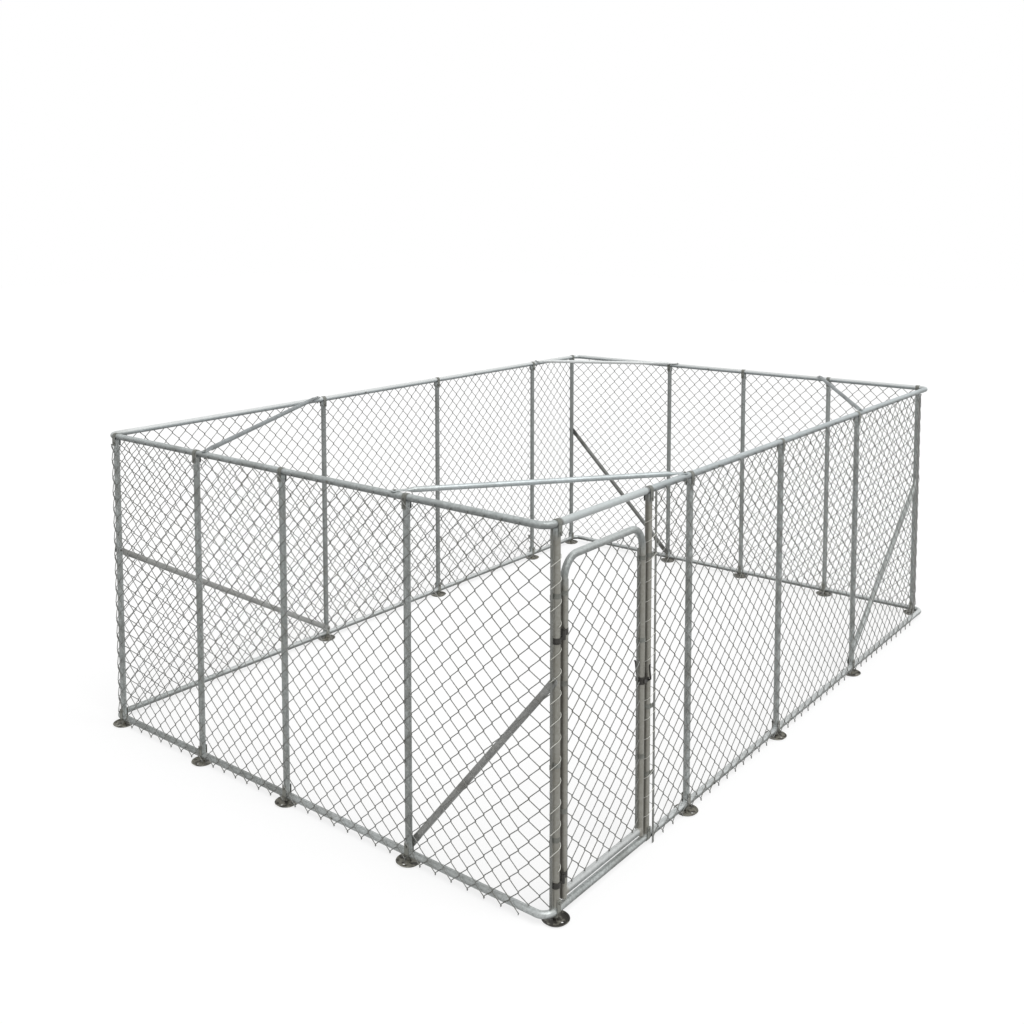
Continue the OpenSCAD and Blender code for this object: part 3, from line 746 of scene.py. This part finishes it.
# %% Foot
GATE_FOOT = (HINGE_X, -HALF_WIDTH, 0.0)
BLOTCH_MM = 24
BLOTCHES = (0.42, 0.58, 0.0, 1.0)
MUD = (0.12, 0.30, 0.10, -0.03)
PAN_TOP = (0.011, 0.016)
foot, tree, shader, place = new_material("weathered_steel_foot")
height = add_node(tree, "ShaderNodeSeparateXYZ", {"Vector": place}).outputs["Z"]
noise = add_node(tree, "ShaderNodeTexNoise", {"Vector": place, "Scale": 1 / (BLOTCH_MM * MM), "Detail": 4.0})
to_gate = add_node(tree, "ShaderNodeVectorMath", {0: place, 1: GATE_FOOT}, operation="DISTANCE")
mud = amount(tree, (to_gate.outputs["Value"], *MUD))
spots = add_node(tree, "ShaderNodeMath", {0: noise.outputs["Fac"], 1: mud}, operation="ADD").outputs[0]
pan = coat(tree, hex_linear("#8b897f"), "#3a3833", (spots, *BLOTCHES))
whole = coat(tree, pan, "#8d8e87", (height, *PAN_TOP, 0.0, 1.0))
tree.links.new(whole, shader.inputs["Base Color"])
shader.inputs["Metallic"].default_value = 0.3
shader.inputs["Roughness"].default_value = 0.52
finishes["weathered_foot"] = foot
for slot_name, material in finishes.items():
    print(slot_name, "->", material.name)

# %% [markdown]
# ### Which finish goes where
# Every construction piece names a finish in the record, and most keep it. The bolts, three of the braces
# and two of the ties share a slot with other pieces but look different on the real run, so they get metals
# of their own. The woven nets take the drawn wire and the lacing the bright one.

# %% Give every piece its finish
own_finish = {
    "frame_bolts": "zinc_bolt",
    "brace_back": "brace_tube",
    "brace_left": "brace_tube",
    "brace_right": "dull_tube",
    "corner_tie_left": "tie_tube",
    "corner_tie_right": "tie_tube",
}
slot_of = {part["node"]: part["material_slot"] for part in frame["record"]["subparts"]}
for name, obj in nodes.items():
    obj.data.materials.clear()
    obj.data.materials.append(finishes[own_finish.get(name, slot_of[name])])
for obj in [*nets.values(), gate_net]:
    obj.data.materials.append(finishes["galvanised_wire"])
for obj in laces:
    obj.data.materials.append(finishes["bright_tie_wire"])
print("pieces with a finish:", len(nodes) + len(nets) + 1 + len(laces))

# %% [markdown]
# ## Stage
# The picture shows the run cut out on white. A plain floor keeps a soft shadow under the feet. It would
# have to be lit very strongly to look white, and that light would bleach the metal, so the floor is a
# middle grey that glows only where it is seen, by the camera or in a metal's gloss.

# %% Floor
FLOOR_HALF = 40.0
FLOOR_DOWN = 0.0005
FLOOR_GLOW = 0.76
WHITE = (1.0, 1.0, 1.0, 1.0)


def in_view(tree):
    """Output that is 1 for rays from the camera, off a gloss or through glass, and 0 for all others."""
    rays = add_node(tree, "ShaderNodeLightPath", {}).outputs
    seen = rays["Is Camera Ray"]
    for kind in ("Is Glossy Ray", "Is Transmission Ray"):
        seen = add_node(tree, "ShaderNodeMath", {0: seen, 1: rays[kind]}, operation="MAXIMUM").outputs[0]
    return seen


floor_corners = np.array([[-1, -1, 0], [1, -1, 0], [1, 1, 0], [-1, 1, 0]]) * FLOOR_HALF
floor_corners[:, 2] = -FLOOR_DOWN
floor = put_mesh("floor", floor_corners, [[0, 1, 2, 3]])
paper, tree, shader, place = new_material("pale_matt_floor")
shader.inputs["Base Color"].default_value = hex_linear("#8c8c8c")
shader.inputs["Roughness"].default_value = 0.95
shader.inputs["Specular IOR Level"].default_value = 0.0
shader.inputs["Emission Color"].default_value = WHITE
glow = add_node(tree, "ShaderNodeMath", {0: in_view(tree), 1: FLOOR_GLOW}, operation="MULTIPLY")
tree.links.new(glow.outputs[0], shader.inputs["Emission Strength"])
floor.data.materials.append(paper)
print("floor:", FLOOR_HALF * 2, "m square")

# %% [markdown]
# ## Light
# The shading in the picture is soft, as under a bright, overcast sky. One very broad lamp overhead, tilted
# to come from the front, makes the rails bright along their tops and dark beneath. The sky is white
# wherever it is seen or mirrored, but it gives only half of that as light, so the lamp still shows.

# %% Lamp and sky
LAMP_POWER = 1.9
LAMP_BROAD = 50
LAMP_TILT = (30, -8, 0)
SKY = 0.50
lamp_data = bpy.data.lights.new("overhead", "SUN")
lamp_data.energy = LAMP_POWER
lamp_data.angle = math.radians(LAMP_BROAD)
lamp = bpy.data.objects.new("overhead", lamp_data)
lamp.rotation_euler = [math.radians(tilt) for tilt in LAMP_TILT]
scene.collection.objects.link(lamp)
world = bpy.data.worlds.new("white_sky")
world.use_nodes = True
scene.world = world
sky_tree = world.node_tree
sky = sky_tree.nodes["Background"]
sky.inputs["Color"].default_value = WHITE
level = amount(sky_tree, (in_view(sky_tree), 0.0, 1.0, SKY, 1.0))
sky_tree.links.new(level, sky.inputs["Strength"])
print("lamp:", lamp_data.energy, "sky:", SKY)
